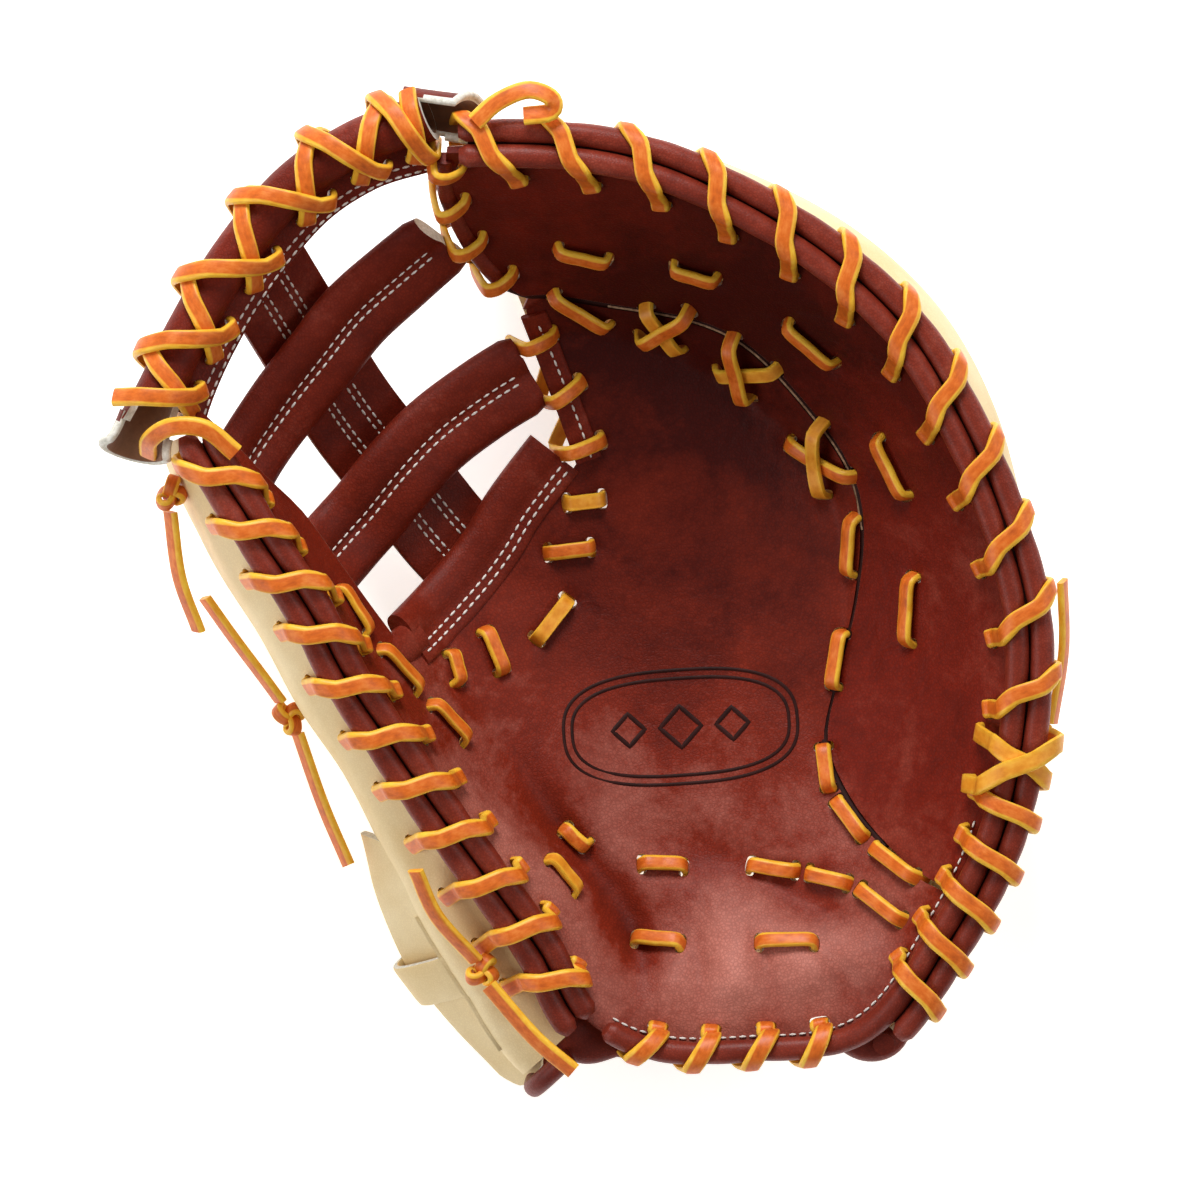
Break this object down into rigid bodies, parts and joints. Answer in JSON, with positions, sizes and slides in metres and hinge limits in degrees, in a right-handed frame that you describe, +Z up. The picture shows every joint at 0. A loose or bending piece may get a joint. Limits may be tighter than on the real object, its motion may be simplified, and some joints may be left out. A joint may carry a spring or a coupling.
{
  "type": "first baseman mitt",
  "caption": "Leather baseball mitt with a deep scooped pocket, laced rim with double welts, barred web, rolled top bar, padded heel and wrist strap.",
  "frame": {"origin": "middle of the box on the surface that the mitt lies on, loose lace ends left out", "axes": "+Z up out of the pocket, +Y from the wrist towards the finger tips, +X from the thumb towards the little finger"},
  "size_m": [0.292, 0.3098, 0.1291],
  "materials": {
    "brown_leather": "oiled grain",
    "welt_leather": "rolled and oiled",
    "blonde_leather": "smooth grain",
    "orange_lace": "waxed rawhide"
  },
  "bodies": {
    "root": {"finger_rim_lace": "orange_lace", "corner_rim_lace": "orange_lace", "thumb_rim_lace": "orange_lace", "heel_lace": "orange_lace", "finger_face_lace": "orange_lace", "palm_edge_lace": "orange_lace", "little_finger_lace": "orange_lace", "heel_pad_lace": "orange_lace", "heel_middle_lace": "orange_lace", "thumb_pad_lace": "orange_lace", "palm_web_lace": "orange_lace", "web_finger_lace": "orange_lace", "web_palm_lace": "orange_lace", "thumb_edge_lace": "orange_lace", "joint_lace_low": "orange_lace", "joint_lace_high": "orange_lace", "palm": "brown_leather", "finger_face": "brown_leather", "finger_back": "blonde_leather", "thumb_back": "blonde_leather", "palm_welt": "welt_leather", "finger_welt_outer": "welt_leather", "thumb_welt_inner": "welt_leather", "thumb_welt_outer": "welt_leather", "web_upper_bar": "brown_leather", "web_lower_bar": "brown_leather", "web_base_bar": "brown_leather", "web_post": "brown_leather", "web_top_lace_low": "orange_lace", "web_top_lace_high": "orange_lace", "web_top_bar": "brown_leather", "wrist_strap": "blonde_leather", "thumb_wrist_binding": "welt_leather", "finger_wrist_binding": "welt_leather", "right_knot": "orange_lace", "left_knot": "orange_lace", "thumb_side_knot": "orange_lace", "wrist_knot": "orange_lace", "finger_corner_loop": "orange_lace", "thumb_corner_loop": "orange_lace", "thumb_side_lace": "orange_lace", "right_tail": "orange_lace", "left_tail": "orange_lace", "thumb_side_tail": "orange_lace", "wrist_tail_up": "orange_lace", "wrist_tail_down": "orange_lace", "strap_keeper": "blonde_leather"}
  },
  "joints": []
}
